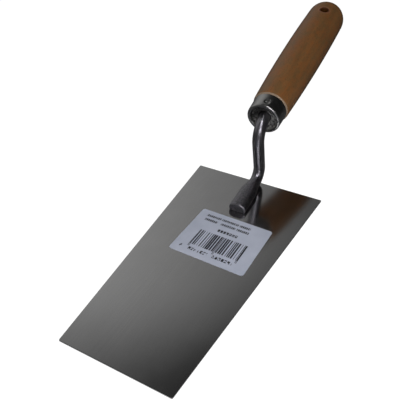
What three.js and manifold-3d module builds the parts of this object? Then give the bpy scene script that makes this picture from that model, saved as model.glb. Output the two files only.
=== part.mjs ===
// A plastering trowel: a flat steel blade, a bent rod neck whose foot is spot-welded to the
// blade, a pressed steel ferrule and a turned beech handle driven onto the rod's tang.
//
// Millimetres. +X runs from the heel of the blade to its toe, +Z is up on the handle's side,
// and the origin is the middle of the blade's underside. Every piece is drawn with x measured
// from the heel edge, and the whole trowel is then moved back by half the blade's length.

import * as THREE from 'three';
import { mergeVertices } from 'three/addons/utils/BufferGeometryUtils.js';
import Module from 'manifold-3d';

// ---- driving dimensions -------------------------------------------------------------------

const bladeLength = 180;
const heelWidth = 98;
const toeWidth = 67;
const bladeThickness = 1;
const bladeCornerRadius = 0.8;

const rodDiameter = 8.4;
const upperBendRadius = 14.5;
const lowerBendRadius = 8.2;
const upperBendAhead = 9.4; // corner of the upper bend, ahead of the ferrule on the handle's axis
const lowerBendBehind = 2.8; // corner of the lower bend, behind the heel edge
const lowerBendHeight = 4; // the same corner, above the blade

const footReach = 41; // front of the foot, from the heel edge
const footWidth = 12.2;
const footHeight = 5.8; // at its front end
const footAxisHeight = 2.2; // height of the foot's axis above the blade at its front end
const footFlattening = 13; // length over which the round rod turns into the flat foot
const footSquareness = 0.75; // superellipse power of the foot's section; 1 is an ellipse
const footEdgeRadius = 0.8;
const footSkew = 1.4; // sideways swing of the foot's front end
const weldGap = 0.3; // the foot stands this far off the blade, on its weld nuggets
const weldDiameter = 4;
const weldPlaces = { weld_nugget_rear: 16, weld_nugget_front: 32 }; // from the heel edge

const handleTilt = THREE.MathUtils.degToRad(15); // the butt is higher than the ferrule
const gripTurn = THREE.MathUtils.degToRad(-6.5); // of handle and ferrule about their axis
const ferruleRim = { x: 1, height: 52.3 }; // middle of the ferrule's front rim, above the blade

const ferruleLength = 12.1;
const ferruleFrontRadius = 12;
const ferruleBackRadius = 12.3;
const ferruleWall = 0.9;
const ferruleRimRadius = 1.3;
const dishDepth = 2.6; // how far the ferrule's front is pressed in around the rod
const dishSlope = 0.5; // further fall of the dish from its edge to the rod's hole
const dishFillet = 1;
const punchRadius = 3.8; // the ball punch whose dimple stakes the ferrule to the wood
const dimpleDepth = 0.85;
const dimpleAt = 4.7; // from the rim

const handleLength = 145.7; // from the ferrule's rim to the end of the butt
const shoulderRadius = 13.2;
const shoulderChamfer = 2.2;
const bellyRadius = 15.4;
const bellyAt = 98; // from the rim
const buttLength = 13;
const buttSquareness = 2.15; // superellipse exponent of the rounded butt
const tangLength = 62; // from the rim into the wood
const tangTaper = 16; // length of the tang's tapered tip
const tangTipRadius = 2.2;
const hangHoleDiameter = 6.2;
const hangHoleAt = 123.2; // from the rim

const fitGap = 0.3; // between a piece and the one it is cut to fit
const ferruleHoleGap = 0.6; // between the rod and the hole it leaves the ferrule by

const labelSize = { x: 45.8, y: 51.3, z: 0.12 };
const labelCentre = { x: 71.8, y: 5.1 };
const labelTurn = THREE.MathUtils.degToRad(-1.3);
const labelCornerRadius = 2.2;

const latheSides = 48;
const rodSides = 24;

const rodRadius = rodDiameter / 2;
const footUnderside = bladeThickness + weldGap;

// ---- solids and booleans ------------------------------------------------------------------

const wasm = await Module();
wasm.setup();

// Merges shared corners and drops the slivers that a lathe leaves on its axis.
function weldVertices(geometry) {
  geometry.deleteAttribute('normal');
  geometry.deleteAttribute('uv');
  const merged = mergeVertices(geometry, 1e-4);
  const index = merged.index.array;
  const kept = [];
  for (let i = 0; i < index.length; i += 3) {
    const [a, b, c] = [index[i], index[i + 1], index[i + 2]];
    if (a !== b && b !== c && c !== a) kept.push(a, b, c);
  }
  merged.setIndex(kept);
  return merged;
}

function toSolid(geometry) {
  const merged = weldVertices(geometry);
  return new wasm.Manifold(
    new wasm.Mesh({
      numProp: 3,
      vertProperties: new Float32Array(merged.attributes.position.array),
      triVerts: new Uint32Array(merged.index.array),
    }),
  );
}

function toGeometry(solid) {
  const mesh = solid.getMesh();
  const geometry = new THREE.BufferGeometry();
  geometry.setAttribute('position', new THREE.BufferAttribute(mesh.vertProperties, 3));
  geometry.setIndex(new THREE.BufferAttribute(mesh.triVerts, 1));
  return geometry;
}

// A turned solid whose axis runs from the origin towards -X; points are (radius, distance).
function turned(points, sides = latheSides) {
  return new THREE.LatheGeometry(points, sides).rotateZ(Math.PI / 2);
}

// A closed skin over rings of points, with a fan over each end.
function loft(rings) {
  const sides = rings[0].length;
  const lastRing = (rings.length - 1) * sides;
  const triangles = [];
  for (let start = 0; start < lastRing; start += sides) {
    for (let k = 0; k < sides; k++) {
      const a = start + k;
      const b = start + ((k + 1) % sides);
      triangles.push(a, b, a + sides, b, b + sides, a + sides);
    }
  }
  for (let k = 1; k < sides - 1; k++) {
    triangles.push(0, k + 1, k);
    triangles.push(lastRing, lastRing + k, lastRing + k + 1);
  }
  const geometry = new THREE.BufferGeometry().setFromPoints(rings.flat());
  geometry.setIndex(triangles);
  return geometry;
}

function part(name, geometry, material) {
  const mesh = new THREE.Mesh(geometry, material);
  mesh.name = name;
  return mesh;
}

// ---- materials ----------------------------------------------------------------------------

const bladeSteel = new THREE.MeshStandardMaterial({ color: 0x6e6f6e, roughness: 0.35, metalness: 1 });
const rodSteel = new THREE.MeshStandardMaterial({ color: 0x77757c, roughness: 0.28, metalness: 1 });
const ferruleSteel = new THREE.MeshStandardMaterial({ color: 0x8a8c88, roughness: 0.25, metalness: 1 });
const beech = new THREE.MeshStandardMaterial({ color: 0x8a6240, roughness: 0.6, metalness: 0 });
const paper = new THREE.MeshStandardMaterial({ color: 0xaab2c4, roughness: 0.7, metalness: 0 });

// ---- blade --------------------------------------------------------------------------------

// A closed outline through the corners, each rounded to the same radius.
function roundedOutline(corners, radius) {
  const shape = new THREE.Shape();
  corners.forEach((corner, i) => {
    const before = corners[(i + corners.length - 1) % corners.length];
    const after = corners[(i + 1) % corners.length];
    const start = corner.clone().add(before.clone().sub(corner).setLength(radius));
    const end = corner.clone().add(after.clone().sub(corner).setLength(radius));
    if (i === 0) shape.moveTo(start.x, start.y);
    else shape.lineTo(start.x, start.y);
    shape.quadraticCurveTo(corner.x, corner.y, end.x, end.y);
  });
  shape.closePath();
  return shape;
}

function sheet(corners, radius, thickness) {
  const shape = roundedOutline(corners, radius);
  return new THREE.ExtrudeGeometry(shape, { depth: thickness, bevelEnabled: false, curveSegments: 4 });
}

function blade() {
  const corners = [
    new THREE.Vector2(0, -heelWidth / 2),
    new THREE.Vector2(bladeLength, -toeWidth / 2),
    new THREE.Vector2(bladeLength, toeWidth / 2),
    new THREE.Vector2(0, heelWidth / 2),
  ];
  return part('blade', sheet(corners, bladeCornerRadius, bladeThickness), bladeSteel);
}

function label() {
  const { x, y, z } = labelSize;
  const corners = [[-x, -y], [x, -y], [x, y], [-x, y]].map(
    ([a, b]) => new THREE.Vector2(a / 2, b / 2),
  );
  const mesh = part('label', sheet(corners, labelCornerRadius, z), paper);
  mesh.position.set(labelCentre.x, labelCentre.y, bladeThickness);
  mesh.rotation.z = labelTurn;
  return mesh;
}

// ---- neck: tang, two bends and foot -------------------------------------------------------

// A point on the handle's axis, in the plane (x, z); positive distances are in the wood.
function onHandleAxis(distance) {
  return new THREE.Vector2(
    ferruleRim.x - distance * Math.cos(handleTilt),
    bladeThickness + ferruleRim.height + distance * Math.sin(handleTilt),
  );
}

// The arc that rounds the corner between two straights.
function bend(before, corner, after, radius) {
  const arriving = corner.clone().sub(before).normalize();
  const leaving = after.clone().sub(corner).normalize();
  const turn = Math.acos(arriving.dot(leaving));
  const side = Math.sign(arriving.cross(leaving));
  const start = corner.clone().addScaledVector(arriving, -radius * Math.tan(turn / 2));
  const centreX = start.x - side * radius * arriving.y;
  const centreZ = start.y + side * radius * arriving.x;
  const from = Math.atan2(start.y - centreZ, start.x - centreX);
  return new THREE.EllipseCurve(centreX, centreZ, radius, radius, from, from + side * turn, side < 0);
}

// The rod's centre line in the plane (x, z), piece by piece.
function rodPath() {
  const tangEnd = onHandleAxis(tangLength);
  const upperCorner = onHandleAxis(-upperBendAhead);
  const lowerCorner = new THREE.Vector2(-lowerBendBehind, bladeThickness + lowerBendHeight);
  const footEnd = new THREE.Vector2(footReach, bladeThickness + footAxisHeight);
  const upperBend = bend(tangEnd, upperCorner, lowerCorner, upperBendRadius);
  const lowerBend = bend(upperCorner, lowerCorner, footEnd, lowerBendRadius);
  return {
    tang: new THREE.LineCurve(tangEnd, upperBend.getPoint(0)),
    upperBend,
    shank: new THREE.LineCurve(upperBend.getPoint(1), lowerBend.getPoint(0)),
    lowerBend,
    foot: new THREE.LineCurve(lowerBend.getPoint(1), footEnd),
  };
}

// A power of a sine or cosine that keeps its sign.
function signedPower(value, power) {
  return Math.sign(value) * Math.abs(value) ** power;
}

// A closed ring of the rod, square to its centre line and flat where it faces the blade.
function rodRing(curve, t, section) {
  const { halfWidth, halfHeight, squareness, sideways } = section;
  const centre = curve.getPoint(t);
  const along = curve.getTangent(t);
  const ring = [];
  for (let k = 0; k < rodSides; k++) {
    const angle = (2 * Math.PI * k) / rodSides;
    const across = halfWidth * signedPower(Math.cos(angle), squareness);
    const up = halfHeight * signedPower(Math.sin(angle), squareness);
    const z = Math.max(centre.y + up * along.x, footUnderside);
    ring.push(new THREE.Vector3(centre.x - up * along.y, sideways + across, z));
  }
  return ring;
}

function roundSection(radius) {
  return { halfWidth: radius, halfHeight: radius, squareness: 1, sideways: 0 };
}

// The foot's section at a distance from its start; inset rounds off its front edge.
function footSection(distance, length, inset) {
  const flat = THREE.MathUtils.smoothstep(distance, 0, footFlattening);
  return {
    halfWidth: THREE.MathUtils.lerp(rodRadius, footWidth / 2, flat) - inset,
    halfHeight: THREE.MathUtils.lerp(rodRadius, footHeight - footAxisHeight, flat) - inset,
    squareness: THREE.MathUtils.lerp(1, footSquareness, flat),
    sideways: (footSkew * distance) / length,
  };
}

function neck() {
  const { tang, upperBend, shank, lowerBend, foot } = rodPath();
  const rod = roundSection(rodRadius);
  const rings = [
    rodRing(tang, 0, roundSection(tangTipRadius)),
    rodRing(tang, tangTaper / tang.getLength(), rod),
  ];
  for (const [curve, steps] of [[upperBend, 12], [shank, 3], [lowerBend, 10]]) {
    for (let i = 0; i < steps; i++) rings.push(rodRing(curve, i / steps, rod));
  }

  const length = foot.getLength();
  const fullLength = length - footEdgeRadius;
  const footSteps = 12;
  for (let i = 0; i <= footSteps; i++) {
    const distance = (fullLength * i) / footSteps;
    rings.push(rodRing(foot, distance / length, footSection(distance, length, 0)));
  }
  const edgeSteps = 3;
  for (let i = 1; i <= edgeSteps; i++) {
    const angle = (Math.PI / 2) * (i / edgeSteps);
    const distance = fullLength + footEdgeRadius * Math.sin(angle);
    const inset = footEdgeRadius * (1 - Math.cos(angle));
    rings.push(rodRing(foot, distance / length, footSection(distance, length, inset)));
  }
  return part('neck', loft(rings), rodSteel);
}

// The metal of each spot weld, filling the gap between the foot and the blade.
function weldNuggets() {
  return Object.entries(weldPlaces).map(([name, x]) => {
    const disc = new THREE.CylinderGeometry(weldDiameter / 2, weldDiameter / 2, weldGap, rodSides);
    const mesh = part(name, disc.rotateX(Math.PI / 2), rodSteel);
    mesh.position.set(x, (footSkew * x) / footReach, bladeThickness + weldGap / 2);
    return mesh;
  });
}

// ---- ferrule ------------------------------------------------------------------------------

function ferruleRadius(distance) {
  const t = distance / ferruleLength;
  return THREE.MathUtils.lerp(ferruleFrontRadius, ferruleBackRadius, t);
}

// Points of an arc as (radius, distance) pairs.
function arc(centreRadius, centreDistance, radius, from, to, steps) {
  const points = [];
  for (let i = 0; i <= steps; i++) {
    const angle = THREE.MathUtils.lerp(from, to, i / steps);
    const r = centreRadius + radius * Math.cos(angle);
    const d = centreDistance + radius * Math.sin(angle);
    points.push(new THREE.Vector2(r, d));
  }
  return points;
}

// One face of the pressed sheet, from the rod's hole out over the dish and the rolled rim to
// the back edge; inset 0 is the outer face, and the wall thickness gives the hidden one.
function ferruleFace(inset) {
  const rimCentre = ferruleFrontRadius - ferruleRimRadius;
  const dishEdge = rimCentre - ferruleRimRadius - dishFillet;
  return [
    new THREE.Vector2(rodRadius + ferruleHoleGap, dishDepth + dishSlope + inset),
    ...arc(dishEdge, dishDepth - dishFillet, dishFillet + inset, Math.PI / 2, 0, 4),
    ...arc(rimCentre, ferruleRimRadius, ferruleRimRadius - inset, -Math.PI, 0, 10),
    new THREE.Vector2(ferruleBackRadius - inset, ferruleLength),
  ];
}

// The ball that presses the dimple, grown by an offset, above the handle's axis.
function punch(offset) {
  const ball = new THREE.SphereGeometry(punchRadius + offset, 24, 16);
  ball.translate(-dimpleAt, 0, ferruleRadius(dimpleAt) + punchRadius - dimpleDepth);
  return toSolid(ball);
}

function ferrule() {
  const outer = ferruleFace(0);
  const inner = ferruleFace(ferruleWall).reverse();
  const cup = toSolid(turned([...outer, ...inner, outer[0]]));
  const axisStart = new THREE.Vector2(0, 0);
  const axisEnd = new THREE.Vector2(0, ferruleLength);
  const envelope = toSolid(turned([axisStart, ...outer.slice(-2), axisEnd]));
  const bump = punch(ferruleWall).intersect(envelope);
  return part('ferrule', toGeometry(cup.add(bump).subtract(punch(0))), ferruleSteel);
}

// ---- handle -------------------------------------------------------------------------------

function handleOutline() {
  const spigotStart = dishDepth + dishSlope + ferruleWall + fitGap;
  const shoulder = ferruleLength + fitGap;
  const bodyStart = shoulder + shoulderChamfer;
  const bodyEnd = handleLength - buttLength;
  const spigotRadius = (distance) => ferruleRadius(distance) - ferruleWall - fitGap;
  const swell = (bellyRadius - shoulderRadius) / (bellyAt - bodyStart) ** 2;
  const bodyRadius = (distance) => bellyRadius - swell * (distance - bellyAt) ** 2;

  const points = [
    new THREE.Vector2(0, spigotStart),
    new THREE.Vector2(spigotRadius(spigotStart), spigotStart),
    new THREE.Vector2(spigotRadius(shoulder), shoulder),
    new THREE.Vector2(ferruleBackRadius, shoulder),
  ];
  const bodySteps = 10;
  for (let i = 0; i <= bodySteps; i++) {
    const distance = THREE.MathUtils.lerp(bodyStart, bodyEnd, i / bodySteps);
    points.push(new THREE.Vector2(bodyRadius(distance), distance));
  }
  const buttSteps = 8;
  for (let i = 1; i <= buttSteps; i++) {
    const angle = (Math.PI / 2) * (i / buttSteps);
    const radius = bodyRadius(bodyEnd) * Math.cos(angle) ** (2 / buttSquareness);
    const distance = bodyEnd + buttLength * Math.sin(angle) ** (2 / buttSquareness);
    points.push(new THREE.Vector2(i === buttSteps ? 0 : radius, distance));
  }
  return points;
}

// The blind bore that the tang is driven into.
function tangBore() {
  const bottom = tangLength + fitGap;
  return turned([
    new THREE.Vector2(0, 0),
    new THREE.Vector2(rodRadius + fitGap, 0),
    new THREE.Vector2(rodRadius + fitGap, tangLength - tangTaper),
    new THREE.Vector2(tangTipRadius + fitGap, bottom),
    new THREE.Vector2(0, bottom),
  ]);
}

function hangHole() {
  const radius = hangHoleDiameter / 2;
  const drill = new THREE.CylinderGeometry(radius, radius, 3 * bellyRadius, rodSides);
  return drill.rotateX(Math.PI / 2).translate(-hangHoleAt, 0, 0);
}

function handle() {
  const wood = toSolid(turned(handleOutline()))
    .subtract(toSolid(tangBore()))
    .subtract(toSolid(hangHole()))
    .subtract(punch(ferruleWall + fitGap));
  return part('handle', toGeometry(wood), beech);
}

// ---- the trowel ---------------------------------------------------------------------------

const grip = new THREE.Group();
grip.position.set(ferruleRim.x, 0, bladeThickness + ferruleRim.height);
grip.rotation.set(gripTurn, handleTilt, 0, 'YXZ');
grip.add(ferrule(), handle());

const trowel = new THREE.Group();
trowel.position.x = -bladeLength / 2;
trowel.add(blade(), neck(), ...weldNuggets(), grip, label());
export default trowel;
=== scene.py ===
"""A plastering trowel: a tapering steel blade, a bent rod neck, a pressed ferrule and a beech handle.

Metres, in the CAD part's frame: +X runs from the blade's heel to its toe, +Z is up, and the origin
is the middle of the blade's underside.
"""
import math

import bmesh
import bpy
import numpy as np
from mathutils import Matrix, Vector


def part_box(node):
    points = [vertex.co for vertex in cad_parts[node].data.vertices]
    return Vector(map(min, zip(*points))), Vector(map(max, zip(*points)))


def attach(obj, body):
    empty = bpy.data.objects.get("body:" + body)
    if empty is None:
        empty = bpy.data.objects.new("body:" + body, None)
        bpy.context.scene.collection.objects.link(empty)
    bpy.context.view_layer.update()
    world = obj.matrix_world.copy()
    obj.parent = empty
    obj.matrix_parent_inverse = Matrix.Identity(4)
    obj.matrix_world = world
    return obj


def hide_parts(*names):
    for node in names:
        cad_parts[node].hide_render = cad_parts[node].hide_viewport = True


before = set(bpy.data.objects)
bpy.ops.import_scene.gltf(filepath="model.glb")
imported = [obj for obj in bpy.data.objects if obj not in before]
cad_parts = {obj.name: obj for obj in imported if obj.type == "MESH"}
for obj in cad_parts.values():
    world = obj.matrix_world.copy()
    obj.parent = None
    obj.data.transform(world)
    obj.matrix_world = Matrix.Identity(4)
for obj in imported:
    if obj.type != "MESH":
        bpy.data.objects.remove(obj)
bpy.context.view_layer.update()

MM = 0.001
TAU = 2 * math.pi

# ---- places, read from the CAD part -------------------------------------------------------------

blade_low, blade_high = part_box("blade")
heel_x = blade_low.x
deck_z = blade_high.z  # upper face of the blade
heel_width = blade_high.y - blade_low.y
nuggets = ("weld_nugget_rear", "weld_nugget_front")
foot_underside_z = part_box(nuggets[0])[1].z
label_low, label_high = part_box("label")
label_centre = (label_low + label_high) / 2


def cad_points(node):
    return np.array([v.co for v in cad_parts[node].data.vertices])


def ring_centre(points, low, high):
    """Middle of the points whose x lies between low and high past the rearmost one."""
    past = points[:, 0] - points[:, 0].min()
    ring = points[(past >= low) & (past < high)]
    return Vector(np.unique(ring.round(6), axis=0).mean(axis=0))


# The tang ends in a small ring and widens to full thickness at a second one: their middles give
# the handle's axis, and the ferrule's foremost point along it is the rim.
tang_tip = ring_centre(cad_points("neck"), 0, 4 * MM)
tang_shoulder = ring_centre(cad_points("neck"), 10 * MM, 22 * MM)
handle_forward = (tang_shoulder - tang_tip).normalized()
tang_length = max((Vector(p) - tang_tip).dot(handle_forward) for p in cad_points("ferrule"))
rim_centre = tang_tip + tang_length * handle_forward
handle_tilt = math.asin(-handle_forward.z)

# ---- sizes ---------------------------------------------------------------------------------------

toe_width = 67 * MM
blade_corner_radius = 0.8 * MM
blade_edge_bevel = 0.22 * MM

rod_radius = 4.2 * MM
upper_bend_radius = 14.5 * MM
lower_bend_radius = 8.2 * MM
upper_bend_ahead = 9.4 * MM  # corner of the upper bend, ahead of the rim on the handle's axis
lower_bend_behind = 2.8 * MM  # corner of the lower bend, behind the heel edge
lower_bend_height = 4 * MM  # the same corner, above the blade
foot_reach = 41 * MM  # of the foot's tip, ahead of the heel edge
foot_width = 12.2 * MM
foot_height = 5.8 * MM
foot_axis_height = 2.2 * MM
foot_flattening = 13 * MM  # length over which the round rod turns flat
foot_squareness = 0.75
foot_edge_radius = 0.8 * MM
foot_skew = 1.4 * MM  # sideways swing of the foot's tip
tang_taper = 16 * MM
tang_tip_radius = 2.2 * MM
tang_tip_edge = 0.4 * MM
ring_spacing = 0.7 * MM  # of the mesh along the rod
nugget_waist = 0.9  # radius at a weld nugget's ends, as a share of its middle

grip_turn = math.radians(-6.5)  # of the handle and ferrule about their axis
ferrule_length = 12.1 * MM
ferrule_front_radius = 12 * MM
ferrule_back_radius = 12.3 * MM
ferrule_wall = 0.9 * MM
ferrule_rim_radius = 1.3 * MM
dish_depth = 2.6 * MM
dish_slope = 0.5 * MM
dish_fillet = 1 * MM
punch_radius = 3.8 * MM
dimple_depth = 0.85 * MM
dimple_at = 4.7 * MM  # behind the rim
dimple_lip = 0.5 * MM  # softness of the dimple's edge

handle_length = 145.7 * MM
shoulder_radius = 13.2 * MM
shoulder_chamfer = 2.2 * MM
shoulder_swell = 0.12 * MM  # outward bulge of the chamfer
belly_radius = 15.4 * MM
belly_at = 98 * MM  # behind the rim
butt_length = 13 * MM
butt_squareness = 2.15
hang_hole_radius = 3.1 * MM
hang_hole_at = 123.2 * MM  # behind the rim
hang_hole_lip = 1.3 * MM  # radius of the hole's softened edge

fit_gap = 0.3 * MM
ferrule_hole_gap = 0.6 * MM

label_size = Vector((45.8, 51.3, 0.12)) * MM
label_turn = math.radians(-1.3)
label_corner_radius = 2.2 * MM
label_edge_bevel = 0.03 * MM

# ---- mesh building -------------------------------------------------------------------------------


def around(sides):
    """The angles of a full turn."""
    return np.linspace(0, TAU, sides, endpoint=False)


def tube(name, rings, apexes=None):
    """A skin over equal rings of points. With apexes it closes on a point at each end, and without
    them the last ring joins the first. Its UV map counts turns around and metres along the tube.
    """
    sides = len(rings[0])
    count = len(rings)
    points = [tuple(p) for ring in rings for p in ring]
    faces = []
    for i in range(count - 1 if apexes else count):
        here, there = i * sides, (i + 1) % count * sides
        for k in range(sides):
            after = (k + 1) % sides
            faces.append((here + k, here + after, there + after, there + k))
    if apexes:
        points += [tuple(p) for p in apexes]
        first, last = len(points) - 2, len(points) - 1
        end = (count - 1) * sides
        for k in range(sides):
            after = (k + 1) % sides
            faces.append((first, after, k))
            faces.append((last, end + k, end + after))
    mesh = bpy.data.meshes.new(name)
    mesh.from_pydata(points, [], faces)

    centres = np.array([np.mean(ring, axis=0) for ring in rings])
    steps = np.linalg.norm(np.diff(centres, axis=0), axis=1)
    along = np.concatenate([[0], np.cumsum(steps)])
    uv = mesh.uv_layers.new(name="UVMap").data
    for polygon in mesh.polygons:
        corners = list(zip(polygon.loop_indices, polygon.vertices))
        columns = {v % sides for _, v in corners}
        seam = 0 in columns and sides - 1 in columns
        for loop, v in corners:
            row = min(v // sides, count - 1)
            turned = (v % sides) / sides
            if seam and turned == 0:
                turned = 1
            uv[loop].uv = (turned, along[row])
    return mesh


def add_piece(name, mesh, node, material, sharp_angle=40):
    """Puts a finished mesh in the scene in the place of its CAD node."""
    piece = bpy.data.objects.new(name, mesh)
    bpy.context.scene.collection.objects.link(piece)
    mesh.materials.append(material)
    mesh.shade_smooth()
    mesh.set_sharp_from_angle(angle=math.radians(sharp_angle))
    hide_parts(node)
    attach(piece, "root")
    return piece


def flip_if_inside_out(mesh):
    volume = sum(
        mesh.vertices[p.vertices[0]].co.dot(
            mesh.vertices[p.vertices[k]].co.cross(mesh.vertices[p.vertices[k + 1]].co)
        )
        for p in mesh.polygons
        for k in range(1, len(p.vertices) - 1)
    )
    if volume < 0:
        mesh.flip_normals()


# ---- sheets: blade and label ---------------------------------------------------------------------


def rounded_outline(corners, radius, steps=6):
    """A closed outline with each corner rounded by a quadratic curve."""
    outline = []
    for i, corner in enumerate(corners):
        before, after = corners[i - 1], corners[(i + 1) % len(corners)]
        start = corner + (before - corner).normalized() * radius
        end = corner + (after - corner).normalized() * radius
        for k in range(steps + 1):
            t = k / steps
            outline.append(start * (1 - t) ** 2 + corner * 2 * t * (1 - t) + end * t**2)
    return outline


def sheet(name, corners, radius, bottom, top, bevel):
    """A flat sheet with rounded corners and softened edges."""
    outline = rounded_outline(corners, radius)
    centre = sum(outline, Vector((0, 0))) / len(outline)
    levels = [
        # height and inset: two small chamfers soften each edge
        (bottom, bevel),
        (bottom + 0.3 * bevel, 0.3 * bevel),
        (bottom + bevel, 0),
        (top - bevel, 0),
        (top - 0.3 * bevel, 0.3 * bevel),
        (top, bevel),
    ]
    rings = []
    for z, inset in levels:
        ring = []
        for p in outline:
            inward = (centre - p).normalized() * inset
            ring.append((p.x + inward.x, p.y + inward.y, z))
        rings.append(ring)
    apexes = [(centre.x, centre.y, bottom), (centre.x, centre.y, top)]
    mesh = tube(name, rings, apexes)
    flip_if_inside_out(mesh)
    return mesh


def blade_mesh():
    corners = [
        Vector((heel_x, -heel_width / 2)),
        Vector((blade_high.x, -toe_width / 2)),
        Vector((blade_high.x, toe_width / 2)),
        Vector((heel_x, heel_width / 2)),
    ]
    return sheet("blade_sheet", corners, blade_corner_radius, blade_low.z, deck_z, blade_edge_bevel)


label_place = (
    Matrix.Translation((label_centre.x, label_centre.y, deck_z))
    @ Matrix.Rotation(label_turn, 4, "Z")
)


def label_mesh():
    x, y = label_size.x / 2, label_size.y / 2
    corners = [Vector((-x, -y)), Vector((x, -y)), Vector((x, y)), Vector((-x, y))]
    return sheet("label_sheet", corners, label_corner_radius, 0, label_size.z, label_edge_bevel)


# ---- neck: tang, two bends and foot --------------------------------------------------------------


def straight(a, b):
    """Centre line piece as a length and a function from distance to (point, direction)."""
    direction = (b - a).normalized()
    return (b - a).length, lambda s: (a + direction * s, direction)


def bend(before, corner, after, radius):
    """The arc that rounds a corner, in the same form, with its first and last points."""
    arriving, leaving = (corner - before).normalized(), (after - corner).normalized()
    turn = arriving.angle(leaving)
    side = 1 if arriving.cross(leaving) > 0 else -1
    start = corner - arriving * radius * math.tan(turn / 2)
    end = corner + leaving * radius * math.tan(turn / 2)
    sideways = Vector((-arriving.y, arriving.x)) * side

    def at(s):
        angle = s / radius
        point = start + arriving * radius * math.sin(angle) + sideways * radius * (1 - math.cos(angle))
        return point, arriving * math.cos(angle) + sideways * math.sin(angle)

    return (radius * turn, at), start, end


def signed_power(value, power):
    return math.copysign(abs(value) ** power, value)


def smoothstep(x, low, high):
    t = min(max((x - low) / (high - low), 0), 1)
    return t * t * (3 - 2 * t)


def mix(a, b, t):
    return a + (b - a) * t


def on_axis(distance):
    """A point of the handle's axis in the plane (x, z); positive distances are in the wood."""
    point = rim_centre - handle_forward * distance
    return Vector((point.x, point.z))


def neck_path():
    """The rod's centre line in the plane (x, z): tang, upper bend, shank, lower bend and foot."""
    tang_end = on_axis(tang_length)
    upper_corner = on_axis(-upper_bend_ahead)
    lower_corner = Vector((heel_x - lower_bend_behind, deck_z + lower_bend_height))
    foot_end = Vector((heel_x + foot_reach, deck_z + foot_axis_height))
    upper, upper_start, upper_end = bend(tang_end, upper_corner, lower_corner, upper_bend_radius)
    lower, lower_start, lower_end = bend(upper_corner, lower_corner, foot_end, lower_bend_radius)
    tang = straight(tang_end, upper_start)
    shank = straight(upper_end, lower_start)
    foot = straight(lower_end, foot_end)
    return tang, upper, shank, lower, foot


def neck_ring(point, along, half_width, half_height, squareness=1.0, sideways=0.0):
    """A ring across the rod, flattened where it would sink below the foot's underside."""
    ring = []
    for angle in around(sides=72):
        across = half_width * signed_power(math.cos(angle), squareness)
        up = half_height * signed_power(math.sin(angle), squareness)
        z = max(point.y + up * along.x, foot_underside_z)
        ring.append(Vector((point.x - up * along.y, sideways + across, z)))
    return ring


def tang_radius(distance):
    """The tapered tang's radius, which reaches the full rod's and stays there."""
    slope = (rod_radius - tang_tip_radius) / tang_taper
    return min(tang_tip_radius + slope * distance, rod_radius)


def round_rings(stretches):
    """Rings from the tang's tip to the foot, with a small chamfer on the tip."""
    tip_radius = tang_tip_radius - tang_tip_edge
    edge_radius = tang_radius(tang_tip_edge)
    along_tang = stretches[0][1]
    rings = [
        neck_ring(*along_tang(0), tip_radius, tip_radius),
        neck_ring(*along_tang(tang_tip_edge), edge_radius, edge_radius),
    ]
    travelled = 0
    for length, at in stretches:
        steps = math.ceil(length / ring_spacing)
        for i in range(steps):
            s = length * i / steps
            if travelled + s > tang_tip_edge:
                radius = tang_radius(travelled + s)
                rings.append(neck_ring(*at(s), radius, radius))
        travelled += length
    return rings


def foot_rings(length, at):
    """Rings along the forged foot, which turns flat, swings aside and ends in a rounded edge."""
    full_length = length - foot_edge_radius
    steps = math.ceil(full_length / ring_spacing)
    stations = [(full_length * i / steps, 0) for i in range(steps + 1)]
    for angle in np.linspace(0, math.pi / 2, 7)[1:]:
        past = foot_edge_radius * math.sin(angle)
        stations.append((full_length + past, foot_edge_radius * (1 - math.cos(angle))))
    rings = []
    for s, inset in stations:
        flat = smoothstep(s, 0, foot_flattening)
        half_width = mix(rod_radius, foot_width / 2, flat) - inset
        half_height = mix(rod_radius, foot_height - foot_axis_height, flat) - inset
        squareness = mix(1, foot_squareness, flat)
        rings.append(neck_ring(*at(s), half_width, half_height, squareness, foot_skew * s / length))
    return rings


def neck_mesh():
    *round_part, foot = neck_path()
    rings = round_rings(round_part) + foot_rings(*foot)
    ends = [sum(ring, Vector()) / len(ring) for ring in (rings[0], rings[-1])]
    mesh = tube("neck_rod", rings, ends)
    flip_if_inside_out(mesh)
    return mesh


def nugget_mesh(node):
    """A spot weld's metal, squeezed out a little at half height."""
    low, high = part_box(node)
    centre = (low + high) / 2
    radius = (high.x - low.x) / 2
    rings = []
    for t in np.linspace(0, 1, 7):
        r = radius * mix(nugget_waist, 1, math.sin(math.pi * t))
        z = mix(low.z, high.z, t)
        ring = [(centre.x + r * math.cos(a), centre.y + r * math.sin(a), z) for a in around(sides=40)]
        rings.append(ring)
    mesh = tube(node + "_metal", rings, [(centre.x, centre.y, low.z), (centre.x, centre.y, high.z)])
    flip_if_inside_out(mesh)
    return mesh


# ---- ferrule and handle, turned about the handle's axis ------------------------------------------

# In the grip's own frame the axis is X, with the rim at 0 and the butt at -handle_length.
grip_place = (
    Matrix.Translation(rim_centre)
    @ Matrix.Rotation(handle_tilt, 4, "Y")
    @ Matrix.Rotation(grip_turn, 4, "X")
)


def turned_rings(profile, sides):
    """Rings about the axis through (radius, distance) pairs."""
    return [
        [(-distance, radius * math.sin(a), radius * math.cos(a)) for a in around(sides)]
        for radius, distance in profile
    ]


def ferrule_radius(distance):
    return mix(ferrule_front_radius, ferrule_back_radius, distance / ferrule_length)


def arc(centre, radius, start, end, steps):
    return [
        (centre[0] + radius * math.cos(a), centre[1] + radius * math.sin(a))
        for a in np.linspace(start, end, steps + 1)
    ]


def line(start, end, steps):
    """Points from start up to, but without, end."""
    return [(mix(start[0], end[0], i / steps), mix(start[1], end[1], i / steps)) for i in range(steps)]


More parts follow.
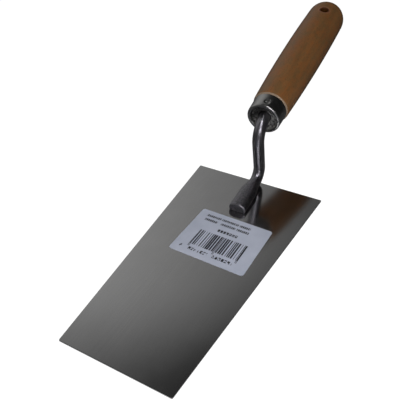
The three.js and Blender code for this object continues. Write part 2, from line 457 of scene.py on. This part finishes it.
def ferrule_face(inset):
    """One face of the pressed sheet, from the rod's hole over the dish and rolled rim to the back."""
    rim = ferrule_front_radius - ferrule_rim_radius
    dish_edge = rim - ferrule_rim_radius - dish_fillet
    floor = dish_depth + inset
    fillet = arc((dish_edge, dish_depth - dish_fillet), dish_fillet + inset, math.pi / 2, 0, 10)
    roll = arc((rim, ferrule_rim_radius), ferrule_rim_radius - inset, -math.pi, 0, 24)
    hole_edge = (rod_radius + ferrule_hole_gap, floor + dish_slope)
    back_edge = (ferrule_back_radius - inset, ferrule_length)
    dish = line(hole_edge, fillet[0], 6) + fillet
    wall = line(roll[-1], back_edge, 36) + [back_edge]
    return dish + roll[:-1] + wall


def punched_height(point, depth):
    """Height to which the ball punch drives a surface that lies this deep under the ferrule's own,
    and infinity beside the ball."""
    ball = punch_radius + depth
    beside = math.hypot(point.x + dimple_at, point.y)
    if beside >= ball:
        return math.inf
    ball_height = ferrule_radius(dimple_at) + punch_radius - dimple_depth
    return ball_height - math.sqrt(ball * ball - beside * beside)


def press_dimple(mesh, is_outer):
    """Pushes the wall in under a ball punch, with a soft lip; the hidden face keeps the thickness."""
    for index, vertex in enumerate(mesh.vertices):
        floor = punched_height(vertex.co, 0 if is_outer(index) else ferrule_wall)
        if vertex.co.z < max(0, floor - 3 * dimple_lip):
            continue
        # a smooth minimum of the wall's height and the ball's underside
        nearness = max(dimple_lip - abs(vertex.co.z - floor), 0) / dimple_lip
        vertex.co.z = min(vertex.co.z, floor) - nearness * nearness * dimple_lip / 4


def ferrule_mesh():
    outer = ferrule_face(0)
    inner = ferrule_face(ferrule_wall)[::-1]
    sides = 240
    mesh = tube("ferrule_cup", turned_rings(outer + inner, sides))
    press_dimple(mesh, lambda index: index < len(outer) * sides)
    flip_if_inside_out(mesh)
    return mesh


def body_radius(distance):
    body_start = ferrule_length + fit_gap + shoulder_chamfer
    swell = (belly_radius - shoulder_radius) / (belly_at - body_start) ** 2
    return belly_radius - swell * (distance - belly_at) ** 2


def spigot_radius(distance):
    return ferrule_radius(distance) - ferrule_wall - fit_gap


def handle_profile():
    """From the bottom of the tang's bore, out of it, over the spigot and shoulder, to the butt."""
    bore_radius = rod_radius + fit_gap
    spigot_start = dish_depth + dish_slope + ferrule_wall + fit_gap
    shoulder = ferrule_length + fit_gap
    body_start = shoulder + shoulder_chamfer
    body_end = handle_length - butt_length
    corners = [
        # radius, distance behind the rim, steps to the next corner
        (tang_tip_radius + fit_gap, tang_length + fit_gap, 4),
        (bore_radius, tang_length - tang_taper, 8),
        (bore_radius, spigot_start, 3),
        (spigot_radius(spigot_start), spigot_start, 24),
        (spigot_radius(shoulder), shoulder, 2),
        (ferrule_back_radius, shoulder, 0),
    ]
    profile = []
    for here, there in zip(corners, corners[1:]):
        profile += line(here[:2], there[:2], here[2])
    # the chamfer bulges slightly and runs into the body without an edge
    for t in np.linspace(0, 1, 10, endpoint=False):
        swell = shoulder_swell * math.sin(math.pi * t)
        radius = mix(ferrule_back_radius, shoulder_radius, t**0.8) + swell
        profile.append((radius, mix(shoulder, body_start, t)))
    profile += [(body_radius(d), d) for d in np.linspace(body_start, body_end, 120, endpoint=False)]
    power = 2 / butt_squareness
    for angle in np.linspace(0, math.pi / 2, 28, endpoint=False):
        radius = body_radius(body_end) * math.cos(angle) ** power
        profile.append((radius, body_end + butt_length * math.sin(angle) ** power))
    return profile


def hang_hole_cutter():
    """A drill through the handle whose ends flare, which softens the hole's two lips."""
    surface = body_radius(hang_hole_at)
    flare_start = surface - 0.85 * hang_hole_lip  # deep enough for the flare to meet the curved wood
    half = [(hang_hole_radius, 0.0), (hang_hole_radius, 0.45 * surface)]
    for angle in np.linspace(0, math.pi / 2, 9):
        radius = hang_hole_radius + hang_hole_lip * (1 - math.cos(angle))
        half.append((radius, flare_start + math.sin(angle) * hang_hole_lip))
    half.append((hang_hole_radius + 2 * hang_hole_lip, surface + 3 * hang_hole_lip))
    profile = [(r, -h) for r, h in half[:0:-1]] + half
    rings = [
        [(-hang_hole_at + r * math.cos(a), r * math.sin(a), h) for a in around(sides=64)]
        for r, h in profile
    ]
    ends = [(-hang_hole_at, 0, profile[0][1]), (-hang_hole_at, 0, profile[-1][1])]
    mesh = tube("hang_hole_cutter", rings, ends)
    flip_if_inside_out(mesh)
    return mesh


def handle_mesh():
    ends = [(-(tang_length + fit_gap), 0, 0), (-handle_length, 0, 0)]
    mesh = tube("handle_wood", turned_rings(handle_profile(), sides=160), ends)
    flip_if_inside_out(mesh)
    bore_top = rod_radius + 2 * fit_gap
    for vertex in mesh.vertices:
        # the wood under the ferrule's dimple is driven in with it
        if vertex.co.z > bore_top:
            vertex.co.z = min(vertex.co.z, punched_height(vertex.co, ferrule_wall + fit_gap))
    return mesh


def drill(mesh, cutter_mesh):
    """The mesh with the cutter's volume taken out of it."""
    blank = bpy.data.objects.new("blank", mesh)
    cutter = bpy.data.objects.new("cutter", cutter_mesh)
    for item in (blank, cutter):
        bpy.context.scene.collection.objects.link(item)
    boolean = blank.modifiers.new("drill", "BOOLEAN")
    boolean.operation = "DIFFERENCE"
    boolean.solver = "EXACT"
    boolean.object = cutter
    depsgraph = bpy.context.evaluated_depsgraph_get()
    drilled = bpy.data.meshes.new_from_object(blank.evaluated_get(depsgraph))
    for item in (blank, cutter):
        bpy.data.objects.remove(item)
    # the cut leaves a few needle-thin faces along its edge, which vanish when close points merge
    cleaned = bmesh.new()
    cleaned.from_mesh(drilled)
    bmesh.ops.remove_doubles(cleaned, verts=cleaned.verts, dist=0.01 * MM)
    cleaned.to_mesh(drilled)
    cleaned.free()
    return drilled


def placed(mesh, place):
    mesh.transform(place)
    return mesh


# ---- node helpers --------------------------------------------------------------------------------


def feed(tree, socket, value):
    if isinstance(value, bpy.types.NodeSocket):
        tree.links.new(value, socket)
    else:
        socket.default_value = value


def feed_all(tree, node, inputs):
    """Sets a node's inputs, each to a value or another node's output."""
    for key, value in inputs.items():
        feed(tree, node.inputs[key], value)


def add(tree, kind, inputs=None, **settings):
    """A new node with its settings and inputs."""
    node = tree.nodes.new(kind)
    for key, value in settings.items():
        setattr(node, key, value)
    feed_all(tree, node, inputs or {})
    return node


def calc(tree, operation, *values):
    node = add(tree, "ShaderNodeMath", operation=operation)
    for socket, value in zip(node.inputs, values):
        feed(tree, socket, value)
    return node.outputs[0]


def remap(tree, value, low, high, to_low=0.0, to_high=1.0, smooth=False):
    node = add(
        tree,
        "ShaderNodeMapRange",
        {"Value": value, "From Min": low, "From Max": high, "To Min": to_low, "To Max": to_high},
        interpolation_type="SMOOTHSTEP" if smooth else "LINEAR",
    )
    return node.outputs["Result"]


def spread(tree, texture, low, high):
    """Noise, which seldom leaves 0.3 to 0.7, stretched over a range."""
    return remap(tree, texture, 0.3, 0.7, low, high)


def blend(tree, factor, a, b, mode="MIX"):
    node = add(tree, "ShaderNodeMix", data_type="RGBA", blend_type=mode)
    feed(tree, node.inputs["Factor"], factor)
    feed(tree, node.inputs[6], a)
    feed(tree, node.inputs[7], b)
    return node.outputs[2]


def toned(tree, colour, factor):
    """A colour made lighter or darker by a factor."""
    return blend(tree, 1.0, colour, factor, "MULTIPLY")


def tint(tree, base, pattern, start, full, strength, colour):
    """Another colour over the base, coming in as the pattern goes from start to full."""
    return blend(tree, remap(tree, pattern, start, full, 0, strength), base, colour)


def squares(tree, a, b):
    return calc(tree, "ADD", calc(tree, "POWER", a, 2), calc(tree, "POWER", b, 2))


def axes_of(tree, vector):
    return add(tree, "ShaderNodeSeparateXYZ", {0: vector}).outputs


def speckle(tree, vector, stretch, detail=3.0, roughness=0.55):
    """Noise from 0 to 1 whose three stretch values are cells per metre along each axis."""
    mapping = add(tree, "ShaderNodeMapping", {"Vector": vector, "Scale": stretch})
    texture = add(
        tree,
        "ShaderNodeTexNoise",
        {"Vector": mapping.outputs[0], "Scale": 1.0, "Detail": detail, "Roughness": roughness},
    )
    return texture.outputs["Fac"]


def place_in(tree, coordinates, place):
    """Coordinates in a piece's own frame, from its placing matrix."""
    inputs = {
        "Vector": coordinates.outputs["Object"],
        "Location": place.to_translation(),
        "Rotation": place.to_euler(),
    }
    return add(tree, "ShaderNodeMapping", inputs, vector_type="TEXTURE").outputs[0]


def new_material(name):
    material = bpy.data.materials.new(name)
    material.use_nodes = True
    tree = material.node_tree
    surface = tree.nodes["Principled BSDF"]
    coordinates = add(tree, "ShaderNodeTexCoord")
    return material, tree, surface, coordinates


def bump(tree, height, distance, strength=1.0, normal=None):
    inputs = {"Height": height, "Distance": distance, "Strength": strength}
    if normal:
        inputs["Normal"] = normal
    return add(tree, "ShaderNodeBump", inputs).outputs["Normal"]


def grey(value):
    return (value, value, value, 1)


# ---- materials -----------------------------------------------------------------------------------


def satin_sheet():
    """Rolled stainless: fine streaks along the sheet, faint haze and a very slight unevenness."""
    material, tree, surface, coordinates = new_material("satin_sheet")
    place = coordinates.outputs["Object"]
    rolling = speckle(tree, place, (25, 2600, 400), 4)
    haze = speckle(tree, place, (45, 60, 60), 3)
    unevenness = speckle(tree, place, (16, 22, 22), 1)
    tone = calc(tree, "MULTIPLY", spread(tree, rolling, 0.97, 1.03), spread(tree, haze, 0.97, 1.03))
    colour = toned(tree, grey(0.5), tone)

    # each spot weld leaves a faint straw-coloured mark on the underside
    underneath = calc(tree, "LESS_THAN", axes_of(tree, place)[2], (blade_low.z + deck_z) / 2)
    for node in nuggets:
        low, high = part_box(node)
        centre = ((low.x + high.x) / 2, (low.y + high.y) / 2, blade_low.z)
        spot = add(tree, "ShaderNodeVectorMath", {0: place, 1: centre}, operation="DISTANCE")
        mark = remap(tree, spot.outputs["Value"], 3.4 * MM, 1.8 * MM, 0, 0.5, smooth=True)
        colour = blend(tree, calc(tree, "MULTIPLY", mark, underneath), colour, (0.3, 0.25, 0.19, 1))
    waves = bump(tree, unevenness, 0.05 * MM)
    feed_all(tree, surface, {
        "Base Color": colour,
        "Metallic": 1,
        "Roughness": spread(tree, haze, 0.11, 0.15),
        "Normal": bump(tree, rolling, 0.002 * MM, 0.6, waves),
    })
    return material


def polished_rod():
    """Bright drawn rod: draw lines along it, small dents, and a duller, scaly forged foot."""
    material, tree, surface, coordinates = new_material("polished_rod")
    place = coordinates.outputs["Object"]
    draw_lines = speckle(tree, coordinates.outputs["UV"], (160, 30, 1), 4)
    dents = speckle(tree, place, (260, 260, 260), 2)
    scale = speckle(tree, place, (700, 900, 900), 4, 0.7)
    forged = remap(tree, axes_of(tree, place)[2], deck_z + 13 * MM, deck_z + 8 * MM, smooth=True)

    scaly_tone = remap(tree, scale, 0.35, 0.65, 0.55, 1.12)
    tone = blend(tree, forged, spread(tree, draw_lines, 0.92, 1.08), scaly_tone)
    drawn = spread(tree, draw_lines, 0.32, 0.38)
    scaly = spread(tree, scale, 0.28, 0.42)
    hollows = bump(tree, dents, 0.07 * MM)
    hollows = bump(tree, calc(tree, "MULTIPLY", scale, forged), 0.12 * MM, 1.0, hollows)
    feed_all(tree, surface, {
        "Base Color": toned(tree, (0.25, 0.245, 0.265, 1), tone),
        "Metallic": 1,
        "Roughness": add(tree, "ShaderNodeMix", {0: forged, 2: drawn, 3: scaly}).outputs[0],
        "Normal": bump(tree, draw_lines, 0.004 * MM, 0.6, hollows),
    })
    return material


def bright_plate():
    """Nickel-plated pressing with the faint rings that forming it over a former leaves."""
    material, tree, surface, coordinates = new_material("bright_plate")
    place = place_in(tree, coordinates, grip_place)
    rings = speckle(tree, place, (2200, 40, 40), 3)
    cloud = speckle(tree, place, (180, 180, 180), 3)

    # down in the dish the plating is dull and stained, with painted shade that darkens it towards the
    # upper left and lightens it towards the lower right
    axes = axes_of(tree, place)
    dish_radius = ferrule_front_radius - 1.4 * ferrule_rim_radius
    from_axis = squares(tree, axes[1], axes[2])
    in_dish = remap(tree, from_axis, dish_radius**2, (0.9 * dish_radius) ** 2, smooth=True)
    stains = remap(tree, speckle(tree, place, (500, 600, 600), 2), 0.35, 0.65, 0.25, 1.75)
    # painted shade: a slantwise gradient, dark on the dish's upper left and light on its lower right
    slantwise = calc(tree, "SUBTRACT", axes[1], axes[2])
    shade = remap(tree, slantwise, -8 * MM, 5 * MM, 0.25, 1.4, smooth=True)
    stains_and_painted_shade = toned(tree, (0.4, 0.4, 0.376, 1), calc(tree, "MULTIPLY", stains, shade))
    colour = blend(tree, in_dish, (0.37, 0.37, 0.36, 1), stains_and_painted_shade)

    # rougher where it is seen in another shiny surface, so that light doesn't speckle inside the dish
    mirrored = add(tree, "ShaderNodeLightPath").outputs["Is Glossy Ray"]
    mirrored_dullness = calc(tree, "MULTIPLY", mirrored, 0.45)
    dish_dullness = calc(tree, "MULTIPLY", in_dish, 0.25)
    dull = calc(tree, "MAXIMUM", mirrored_dullness, dish_dullness)
    feed_all(tree, surface, {
        "Base Color": toned(tree, colour, spread(tree, cloud, 0.92, 1.06)),
        "Metallic": 1,
        "Roughness": calc(tree, "ADD", spread(tree, cloud, 0.28, 0.33), dull),
        "Normal": bump(tree, rings, 0.002 * MM, 0.5),
    })
    return material


def paint_hole_shade_and_lip(tree, base, axes):
    """Inside the hanging hole the wood is painted dark as painted shade, within a lighter ring at its lip
    that is worn bare wood with a painted highlight.
    """
    behind_hole = calc(tree, "ADD", axes[0], hang_hole_at)
    from_hole = calc(tree, "POWER", squares(tree, behind_hole, axes[1]), 0.5)
    lip = hang_hole_radius + 0.6 * hang_hole_lip
    # the lighter ring: worn bare wood and a painted highlight on the lip
    base = tint(tree, base, from_hole, lip + 1.6 * MM, lip + 0.4 * MM, 0.6, (0.34, 0.15, 0.09, 1))
    # painted shade inside the hole
    in_hole = remap(tree, from_hole, lip + 0.5 * MM, lip - 0.5 * MM, smooth=True)
    return blend(tree, in_hole, base, (0.075, 0.024, 0.003, 1))


def bare_shoulder_and_cup_shade(tree, base, axes):
    """The shoulder's chamfer is bare, lighter wood, and the wood inside the ferrule is painted near black
    as painted shade.
    """
    distance = calc(tree, "MULTIPLY", axes[0], -1)
    bare_end = ferrule_length + fit_gap + shoulder_chamfer
    bare = remap(tree, distance, bare_end - 1.0 * MM, bare_end - 1.5 * MM, smooth=True)
    base = blend(tree, bare, base, (0.3, 0.22, 0.15, 1))
    # painted shade on the wood inside the ferrule
    inside_cup = (0.7 * ferrule_length, 0.5 * ferrule_length)
    return tint(tree, base, distance, *inside_cup, 1, (0.012, 0.008, 0.006, 1))


def lacquered_beech():
    """Red-brown beech: long grain, ray flecks, pores and mottling under a thin lacquer."""
    material, tree, surface, coordinates = new_material("lacquered_beech")
    place = place_in(tree, coordinates, grip_place)
    axes = axes_of(tree, place)
    grain = speckle(tree, place, (30, 300, 300), 6, 0.65)
    mottle = speckle(tree, place, (120, 240, 240), 5, 0.7)
    flecks = speckle(tree, place, (420, 1700, 1700), 3)
    pores = speckle(tree, place, (900, 5000, 5000), 2)
    base = blend(tree, remap(tree, grain, 0.35, 0.65), (0.187, 0.087, 0.029, 1), (0.244, 0.114, 0.038, 1))
    base = tint(tree, base, mottle, 0.48, 0.68, 0.75, (0.28, 0.1, 0.025, 1))
    base = tint(tree, base, mottle, 0.5, 0.33, 0.65, (0.15, 0.094, 0.036, 1))
    base = tint(tree, base, flecks, 0.55, 0.7, 0.6, (0.1, 0.05, 0.022, 1))
    base = tint(tree, base, pores, 0.58, 0.75, 0.5, (0.085, 0.042, 0.02, 1))
    base = paint_hole_shade_and_lip(tree, base, axes)

    # painted shade: seen edge-on, the wood is painted darker, for the dark rims along its outline
    facing = add(tree, "ShaderNodeLayerWeight", {"Blend": 0.5}).outputs["Facing"]
    base = tint(tree, base, facing, 0.75, 0.97, 0.55, (0.05, 0.035, 0.02, 1))
    feed_all(tree, surface, {
        "Base Color": bare_shoulder_and_cup_shade(tree, base, axes),
        "Roughness": spread(tree, grain, 0.5, 0.62),
        "Coat Weight": 0.08,
        "Coat Roughness": 0.3,
        "Normal": bump(tree, pores, 0.02 * MM, 0.6, bump(tree, flecks, 0.03 * MM)),
    })
    return material


# The print, in millimetres from the label's middle: x towards the toe, y across the blade.
bars_x = (-2.3, 13.0)
bars_y = (-16.5, 17.5)
bar_slot = 1.5
bar_room = 0.95  # share of a slot that its bar may take
bar_widths = (0.16, 0.78)  # shares of a slot
guard_width = 0.36
guard_end = 15.3
small_print = [
    # middle and height along x, spans across the blade, width of a letter, share of cells inked
    (-17.8, 2.2, [(-20.0, -9.5), (-8.6, 3.4), (4.4, 12.0)], 1.3, 0.92),
    (-13.4, 2.2, [(-19.4, -10.2), (-7.4, 3.0), (4.0, 13.0)], 1.3, 0.92),
    (-6.8, 2.5, [(-6.8, 7.7)], 2.1, 0.9),
    (17.0, 2.6, [(-21.5, -19.7), (-15, -1.5), (1.5, 15.5)], 2.1, 0.6),
]
width_seed = 3.5  # of the bars' widths, then of their places and of the inked cells
start_seed = 71.5
ink_seed = 20.5


def inside(tree, value, low, high):
    """1 between low and high, else 0."""
    above = calc(tree, "GREATER_THAN", value, low)
    return calc(tree, "MULTIPLY", above, calc(tree, "LESS_THAN", value, high))


def random_cells(tree, value, size, seed):
    """A random number for each cell of the given size along a coordinate."""
    cell = calc(tree, "FLOOR", calc(tree, "DIVIDE", value, size))
    randomness = add(tree, "ShaderNodeTexWhiteNoise", noise_dimensions="1D")
    feed(tree, randomness.inputs["W"], calc(tree, "ADD", cell, seed))
    return randomness.outputs["Value"]


def bar_ink(tree, x, y):
    """One bar in each slot, of its own width and place, and three pairs of longer guard bars."""
    width = remap(tree, random_cells(tree, y, bar_slot, width_seed), 0, 1, *bar_widths)
    room = calc(tree, "SUBTRACT", bar_room, width)
    start = calc(tree, "MULTIPLY", random_cells(tree, y, bar_slot, start_seed), room)
    along_slot = calc(tree, "FRACT", calc(tree, "DIVIDE", y, bar_slot))
    bars = inside(tree, along_slot, start, calc(tree, "ADD", start, width))
    within = calc(tree, "MULTIPLY", inside(tree, x, *bars_x), inside(tree, y, *bars_y))
    ink = calc(tree, "MULTIPLY", bars, within)
    first, last = bars_y
    for guard in (first, (first + last) / 2, last - 3 * guard_width):
        for offset in (0, 2 * guard_width):
            across = inside(tree, y, guard + offset, guard + offset + guard_width)
            along = inside(tree, x, bars_x[0], guard_end)
            ink = calc(tree, "MAXIMUM", ink, calc(tree, "MULTIPLY", along, across))
    return ink


def letter_ink(tree, x, y, seed, middle, height, spans, letter, share):
    """A row of letter-sized marks: three by three cells, inked at random, and then a gap."""
    level = calc(tree, "FLOOR", calc(tree, "DIVIDE", x, height / 3))
    own_cells = calc(tree, "ADD", y, calc(tree, "MULTIPLY", level, 40 * letter))
    cells = random_cells(tree, own_cells, letter / 4, seed)
    in_letter = calc(tree, "LESS_THAN", calc(tree, "FRACT", calc(tree, "DIVIDE", y, letter)), 0.75)
    marks = calc(tree, "MULTIPLY", calc(tree, "LESS_THAN", cells, share), in_letter)
    marks = calc(tree, "MULTIPLY", marks, inside(tree, x, middle - height / 2, middle + height / 2))
    ink = 0
    for span in spans:
        ink = calc(tree, "MAXIMUM", ink, calc(tree, "MULTIPLY", marks, inside(tree, y, *span)))
    return ink


def printed_paper():
    """Paper with a bar symbol and rows of random marks that stand for small print."""
    material, tree, surface, coordinates = new_material("printed_paper")
    place = place_in(tree, coordinates, label_place)
    axes = axes_of(tree, place)
    x = calc(tree, "DIVIDE", axes[0], MM)
    y = calc(tree, "DIVIDE", axes[1], MM)
    ink = bar_ink(tree, x, y)
    for number, row in enumerate(small_print):
        ink = calc(tree, "MAXIMUM", ink, letter_ink(tree, x, y, ink_seed + number, *row))

    fibres = speckle(tree, place, (1500, 1500, 1500), 4)
    stain = speckle(tree, place, (60, 60, 60), 3)
    paper = blend(tree, spread(tree, stain, 0, 1), (0.45, 0.49, 0.58, 1), (0.54, 0.575, 0.67, 1))
    paper = tint(tree, paper, fibres, 0.5, 0.8, 0.15, (0.4, 0.44, 0.54, 1))
    feed_all(tree, surface, {
        "Base Color": blend(tree, ink, paper, (0.015, 0.015, 0.02, 1)),
        "Roughness": 0.6,
        "Normal": bump(tree, fibres, 0.01 * MM),
    })
    return material


# ---- pieces --------------------------------------------------------------------------------------

rod_steel = polished_rod()

add_piece("blade_sheet", blade_mesh(), "blade", satin_sheet(), sharp_angle=5)
add_piece("neck_rod", neck_mesh(), "neck", rod_steel)
for node in nuggets:
    add_piece(node + "_metal", nugget_mesh(node), node, rod_steel)
cup = placed(ferrule_mesh(), grip_place)
add_piece("ferrule_cup", cup, "ferrule", bright_plate())
wood = placed(drill(handle_mesh(), hang_hole_cutter()), grip_place)
add_piece("handle_wood", wood, "handle", lacquered_beech())
sticker = placed(label_mesh(), label_place)
add_piece("label_sheet", sticker, "label", printed_paper(), sharp_angle=5)

# ---- floor, light and camera ---------------------------------------------------------------------


def floor_white():
    """Looks white, is grey in reflections, and lets the underside be seen from below."""
    material, tree, surface, coordinates = new_material("floor_white")
    path = add(tree, "ShaderNodeLightPath").outputs
    seen = path["Is Camera Ray"]
    feed_all(tree, surface, {
        "Base Color": blend(tree, path["Is Glossy Ray"], grey(0.7), grey(0.14)),
        "Roughness": 0.9,
        "Specular IOR Level": 0.1,
    })
    glow = add(tree, "ShaderNodeEmission", {"Color": grey(1), "Strength": 1.25}).outputs[0]
    share = calc(tree, "MULTIPLY", seen, 0.8)
    white = add(tree, "ShaderNodeMixShader", {0: share, 1: surface.outputs[0], 2: glow}).outputs[0]

    # clear to a camera below it, and to rays that leave the blade's underside
    behind = add(tree, "ShaderNodeNewGeometry").outputs["Backfacing"]
    touching = calc(tree, "LESS_THAN", path["Ray Length"], 1 * MM)
    clear = calc(tree, "MAXIMUM", calc(tree, "MULTIPLY", behind, seen), touching)
    nothing = add(tree, "ShaderNodeBsdfTransparent").outputs[0]
    look = add(tree, "ShaderNodeMixShader", {0: clear, 1: white, 2: nothing}).outputs[0]
    feed(tree, tree.nodes["Material Output"].inputs["Surface"], look)
    return material


def add_floor():
    reach = 3.0
    corners = [(-reach, -reach, 0), (reach, -reach, 0), (reach, reach, 0), (-reach, reach, 0)]
    mesh = bpy.data.meshes.new("floor")
    mesh.from_pydata(corners, [], [(0, 1, 2, 3)])
    mesh.materials.append(floor_white())
    floor = bpy.data.objects.new("floor", mesh)
    bpy.context.scene.collection.objects.link(floor)
    floor.location.z = blade_low.z - 0.05 * MM


def direction(azimuth, elevation):
    """A unit vector from degrees: azimuth is counted from +X towards +Y."""
    a, e = math.radians(azimuth), math.radians(elevation)
    return Vector((math.cos(a) * math.cos(e), math.sin(a) * math.cos(e), math.sin(e)))


def studio_world():
    """A dim room with soft panels, each a lobe of light about its direction. Only the camera sees
    white all around."""
    lobes = [
        # azimuth, elevation, inner and outer half angle in degrees, brightness
        (214.5, 32, 14, 25, 0.2),  # behind the tool, mirrored in the blade
        (254, 15, 5, 57, 0.4),  # behind it on the left, on the sides of ferrule and rod
        (300, 25, 5, 35, 0.25),  # on the left
        (0, 90, 8, 24, 0.15),  # overhead
        (20, -60, 20, 80, 0.5),  # below, on the underside
    ]
    world = bpy.data.worlds.new("studio")
    bpy.context.scene.world = world
    world.use_nodes = True
    tree = world.node_tree
    look = add(tree, "ShaderNodeTexCoord").outputs["Generated"]
    total = 0.014  # the room's own dim glow
    for azimuth, elevation, inner, outer, brightness in lobes:
        middle = direction(azimuth, elevation)
        dot = add(tree, "ShaderNodeVectorMath", {0: look, 1: middle}, operation="DOT_PRODUCT")
        low, high = math.cos(math.radians(outer)), math.cos(math.radians(inner))
        lobe = remap(tree, dot.outputs["Value"], low, high, 0, brightness, smooth=True)
        total = calc(tree, "ADD", total, lobe)
    background = tree.nodes["Background"]
    seen = add(tree, "ShaderNodeLightPath").outputs["Is Camera Ray"]
    feed(tree, background.inputs["Strength"], calc(tree, "ADD", total, seen))
    background.inputs["Color"].default_value = (1, 0.997, 0.993, 1)


def add_panel(name, place, target, radius, radiance, colour, diffuse=True, glossy=True, beam=180):
    """A round soft light of a given radiance, facing a point; beam is its spread in degrees."""
    light = bpy.data.lights.new(name, "AREA")
    light.shape = "DISK"
    light.size = 2 * radius
    light.energy = radiance * math.pi * (math.pi * radius**2)
    light.color = colour
    light.spread = math.radians(beam)
    panel = bpy.data.objects.new(name, light)
    bpy.context.scene.collection.objects.link(panel)
    panel.location = place
    panel.rotation_euler = (place - target).to_track_quat("Z", "Y").to_euler()
    panel.visible_diffuse = diffuse
    panel.visible_glossy = glossy


def add_lights():
    foot = Vector((heel_x, 0, deck_z))
    bluish = (0.98, 0.97, 1.0)
    flash_place = Vector((heel_x + 284 * MM, 146 * MM, 165 * MM))
    add_panel("flash", flash_place, foot, radius=0.062, radiance=9, colour=(0.98, 0.96, 1.0))

    # these two only light matt surfaces
    fill_place = direction(35, 40) * 1.2
    add_panel("fill", fill_place, foot, radius=0.15, radiance=14, colour=(1, 1, 1), glossy=False)
    ceiling_place = foot + direction(12, 65)
    add_panel("ceiling", ceiling_place, foot, radius=0.16, radiance=8, colour=bluish, glossy=False)

    # The shank sees this one mirrored in the blade, as the long streak down its front. A narrow
    # beam aimed low keeps it off the upper bend.
    shank_in_blade = Vector((heel_x, 0, deck_z - 25 * MM))
    streak_place = shank_in_blade + 0.3 * direction(18, 59.5)
    aim = shank_in_blade - Vector((0, 0, 44 * MM))
    add_panel("streak", streak_place, aim, radius=0.04, radiance=1, colour=bluish, diffuse=False, beam=26)


def calm_speckles():
    """Limits stray bright samples where one shiny piece reflects another."""
    bpy.context.scene.cycles.sample_clamp_indirect = 2


def add_camera():
    """Looks down on the tool from ahead of its toe and a little to one side."""
    camera = bpy.data.objects.new("camera", bpy.data.cameras.new("camera"))
    bpy.context.scene.collection.objects.link(camera)
    place = Vector((heel_x + 279.96 * MM, 101.04 * MM, 200.95 * MM))
    backward = direction(27.752, 35.925)
    roll = math.radians(0.476)
    camera.matrix_world = (
        Matrix.Translation(place)
        @ backward.to_track_quat("Z", "Y").to_matrix().to_4x4()
        @ Matrix.Rotation(roll, 4, "Z")
    )
    camera.data.sensor_width = 36
    camera.data.lens = 42.715
    camera.data.shift_x = -0.0079
    camera.data.shift_y = -0.0097
    camera.data.clip_start = 0.01
    bpy.context.scene.camera = camera


add_floor()
studio_world()
add_lights()
calm_speckles()
add_camera()
bpy.context.scene.view_settings.view_transform = "Standard"
